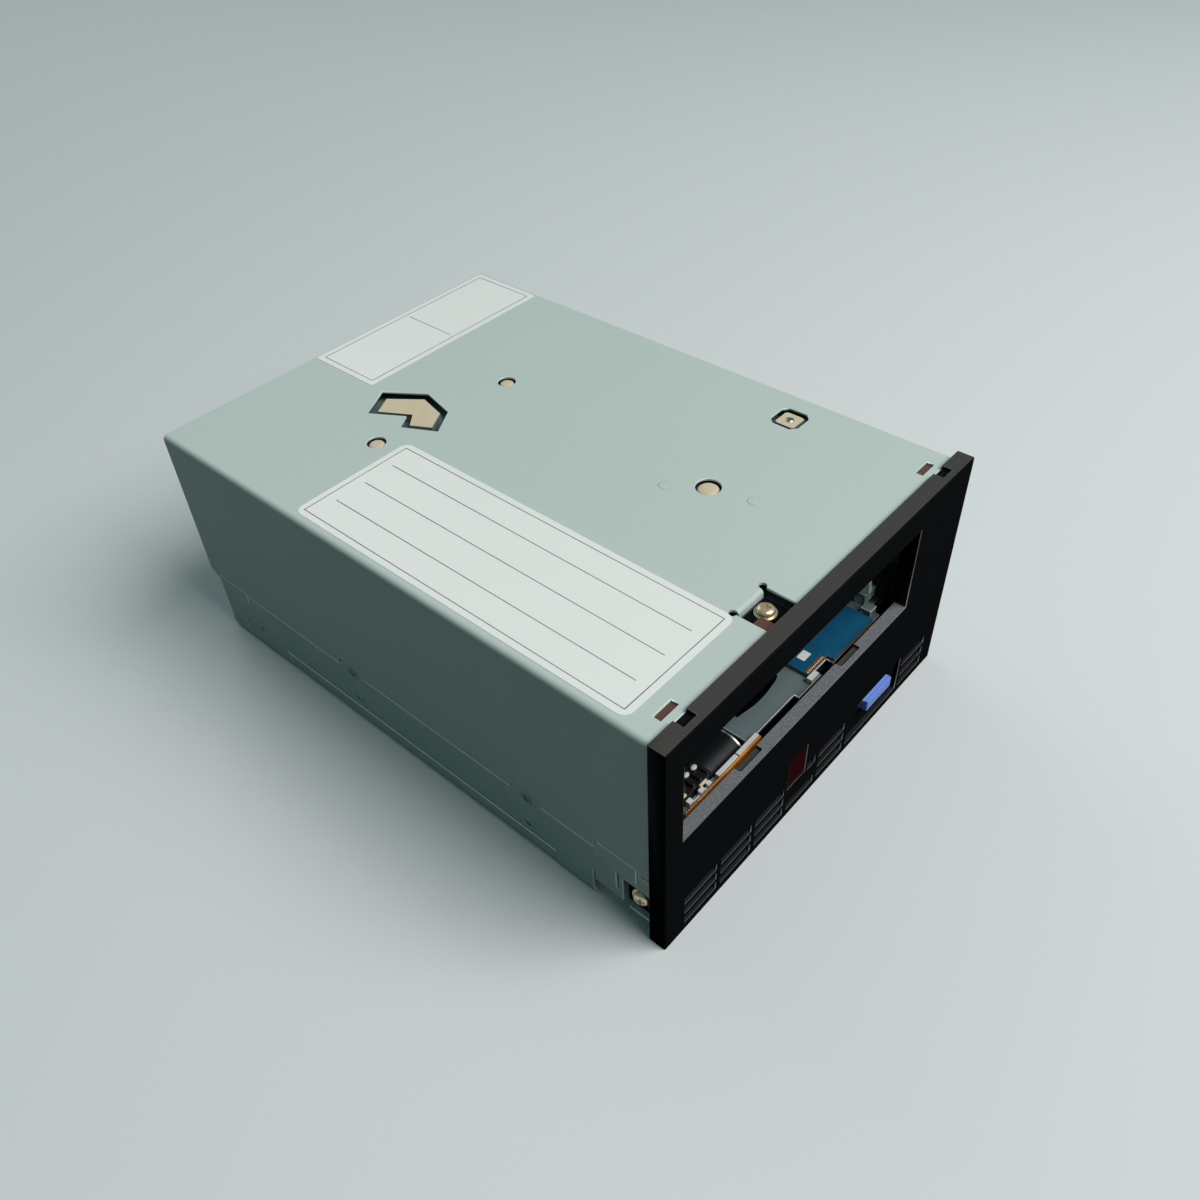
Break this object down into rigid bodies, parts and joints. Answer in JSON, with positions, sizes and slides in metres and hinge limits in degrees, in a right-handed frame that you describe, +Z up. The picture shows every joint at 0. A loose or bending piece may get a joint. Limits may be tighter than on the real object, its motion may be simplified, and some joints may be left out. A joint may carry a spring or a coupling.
{
  "type": "data tape drive",
  "caption": "Full-height bay tape drive with folded cover, louvred black bezel, cartridge mouth, cam and rack loader, reels, tape path, head and rear connectors.",
  "frame": {"origin": "centre of the four bottom mounting holes, on the underside", "axes": "+X to the right seen from the front, +Y from the front bezel towards the rear connectors, +Z up"},
  "size_m": [0.1482, 0.2128, 0.085],
  "materials": {
    "cover_paint": "pale grey-green satin coat on folded sheet",
    "zinc_sheet": "zinc-plated folded sheet",
    "bezel_plastic": "black moulded, fine spark texture",
    "smoked_red": "dark red translucent window",
    "button_plastic": "blue satin moulding",
    "switch_plastic": "black",
    "circuit_board": "solder mask over glass laminate",
    "blue_board": "blue solder mask",
    "gasket_foam": "conductive fabric over foam",
    "gold_screw": "yellow chromate plating",
    "cast_deck": "cast, bead-blasted",
    "bright_steel": "bright sheet",
    "pale_plate": "grey sheet",
    "motor_black": "black painted can with a bright rim",
    "motor_steel": "plated rotor cup",
    "stator_iron": "wound iron stack",
    "connector_white": "white nylon",
    "flex_film": "orange polyimide",
    "clip_black": "black nylon",
    "gear_plastic": "white acetal",
    "pinion_brass": "turned",
    "reel_plastic": "black moulded",
    "clear_flange": "grey moulded flange",
    "roller_metal": "polished",
    "head_ceramic": "polished ceramic",
    "carriage_alloy": "machined",
    "sink_black": "black anodised",
    "connector_black": "black moulded",
    "lever_white": "white moulded"
  },
  "bodies": {
    "chassis": {"top_cover": "cover_paint", "bottom_tray": "zinc_sheet", "rear_panel": "zinc_sheet", "front_bezel": "bezel_plastic", "display_window": "smoked_red", "panel_board": "circuit_board", "eject_switch": "switch_plastic", "emi_gasket_left": "gasket_foam", "emi_gasket_right": "gasket_foam", "foot_gasket_left": "gasket_foam", "foot_gasket_right": "gasket_foam", "top_screw": "gold_screw", "side_screw_left": "gold_screw", "side_screw_right": "gold_screw", "deck": "cast_deck", "roof_plate": "pale_plate", "roof_rivet_1": "bright_steel", "roof_rivet_2": "bright_steel", "roof_rivet_3": "bright_steel", "guide_plate_left": "bright_steel", "guide_plate_right": "bright_steel", "front_bracket": "pale_plate", "front_board": "blue_board", "loader_motor": "motor_black", "flex_connector_1": "connector_white", "flex_connector_2": "connector_white", "flex_connector_3": "connector_white", "front_flex": "flex_film", "cable_clip": "clip_black", "clip_pegs": "connector_white", "gear_bracket": "bright_steel", "supply_stator": "stator_iron", "takeup_stator": "stator_iron", "head_frame": "bright_steel", "threader_post": "bright_steel", "main_board": "circuit_board", "heat_sink": "sink_black", "data_connector": "connector_black", "power_inlet": "connector_white", "id_header": "connector_black"},
    "eject_button": {"eject_button": "button_plastic"},
    "mouth_lever": {"mouth_lever": "lever_white"},
    "cam_slide": {"cam_plate_left": "bright_steel", "cam_plate_right": "bright_steel"},
    "cartridge_lift": {"cartridge_lift": "bright_steel"},
    "cross_shaft": {"cross_shaft": "gear_plastic"},
    "idler_gear": {"idler_gear": "gear_plastic"},
    "motor_pinion": {"motor_pinion": "pinion_brass"},
    "supply_reel": {"supply_spindle": "reel_plastic", "supply_rotor": "motor_steel"},
    "takeup_reel": {"takeup_reel": "reel_plastic", "takeup_flange": "clear_flange", "takeup_rotor": "motor_steel"},
    "guide_roller_1": {"guide_roller_1": "roller_metal"},
    "guide_roller_2": {"guide_roller_2": "roller_metal"},
    "guide_roller_3": {"guide_roller_3": "roller_metal"},
    "guide_roller_4": {"guide_roller_4": "roller_metal"},
    "head_carriage": {"head_carriage": "carriage_alloy", "tape_head": "head_ceramic"},
    "threader_arm": {"threader_arm": "bright_steel"}
  },
  "joints": [
    {"name": "eject_press", "type": "slide", "parent": "chassis", "child": "eject_button", "axis": [0, 1, 0], "range_m": [0, 0.0012], "stiffness_N_per_m": 300, "springref_m": -0.0008},
    {"name": "mouth_lever_tip", "type": "hinge", "parent": "chassis", "child": "mouth_lever", "pos_m": [0.0457, -0.07842, 0.0414], "axis": [-1, 0, 0], "range_deg": [0, 20], "stiffness_Nm_per_rad": 0.001, "springref_deg": -17.19},
    {"name": "cam_travel", "type": "slide", "parent": "chassis", "child": "cam_slide", "axis": [0, 1, 0], "range_m": [0, 0.018]},
    {"name": "lift_drop", "type": "slide", "parent": "chassis", "child": "cartridge_lift", "axis": [0, 0, -1], "range_m": [0, 0.0061]},
    {"name": "cross_shaft_turn", "type": "hinge", "parent": "chassis", "child": "cross_shaft", "pos_m": [-0.057, -0.05103, 0.032], "axis": [1, 0, 0], "range_deg": [-260, 0]},
    {"name": "idler_turn", "type": "hinge", "parent": "chassis", "child": "idler_gear", "pos_m": [-0.0485, -0.06637, 0.02748], "axis": [1, 0, 0], "range_deg": [0, 156]},
    {"name": "pinion_turn", "type": "hinge", "parent": "chassis", "child": "motor_pinion", "pos_m": [-0.048, -0.07802, 0.032], "axis": [1, 0, 0], "range_deg": [-622, 0]},
    {"name": "supply_spin", "type": "hinge", "parent": "chassis", "child": "supply_reel", "pos_m": [-0.0108, -0.03202, 0.03], "axis": [0, 0, 1], "continuous": true},
    {"name": "takeup_spin", "type": "hinge", "parent": "chassis", "child": "takeup_reel", "pos_m": [-0.0108, 0.06498, 0.03], "axis": [0, 0, 1], "continuous": true},
    {"name": "roller_1_spin", "type": "hinge", "parent": "chassis", "child": "guide_roller_1", "pos_m": [0.057, 0.02098, 0.052], "axis": [0, 0, 1], "continuous": true},
    {"name": "roller_2_spin", "type": "hinge", "parent": "chassis", "child": "guide_roller_2", "pos_m": [0.063, 0.03297, 0.052], "axis": [0, 0, 1], "continuous": true},
    {"name": "roller_3_spin", "type": "hinge", "parent": "chassis", "child": "guide_roller_3", "pos_m": [0.063, 0.06098, 0.052], "axis": [0, 0, 1], "continuous": true},
    {"name": "roller_4_spin", "type": "hinge", "parent": "chassis", "child": "guide_roller_4", "pos_m": [0.052, 0.07397, 0.052], "axis": [0, 0, 1], "continuous": true},
    {"name": "head_travel", "type": "slide", "parent": "chassis", "child": "head_carriage", "axis": [0, 0, 1], "range_m": [-0.003, 0.003]},
    {"name": "threader_swing", "type": "hinge", "parent": "chassis", "child": "threader_arm", "pos_m": [0.011, 0.04097, 0.0628], "axis": [0, 0, 1], "range_deg": [0, 80]}
  ],
  "couplings": [
    {"joint": "lift_drop", "follows": "cam_travel", "ratio": 0.33333},
    {"joint": "cross_shaft_turn", "follows": "cam_travel", "rad_per_m": -250},
    {"joint": "idler_turn", "follows": "cam_travel", "rad_per_m": 150},
    {"joint": "pinion_turn", "follows": "cam_travel", "rad_per_m": -600}
  ]
}
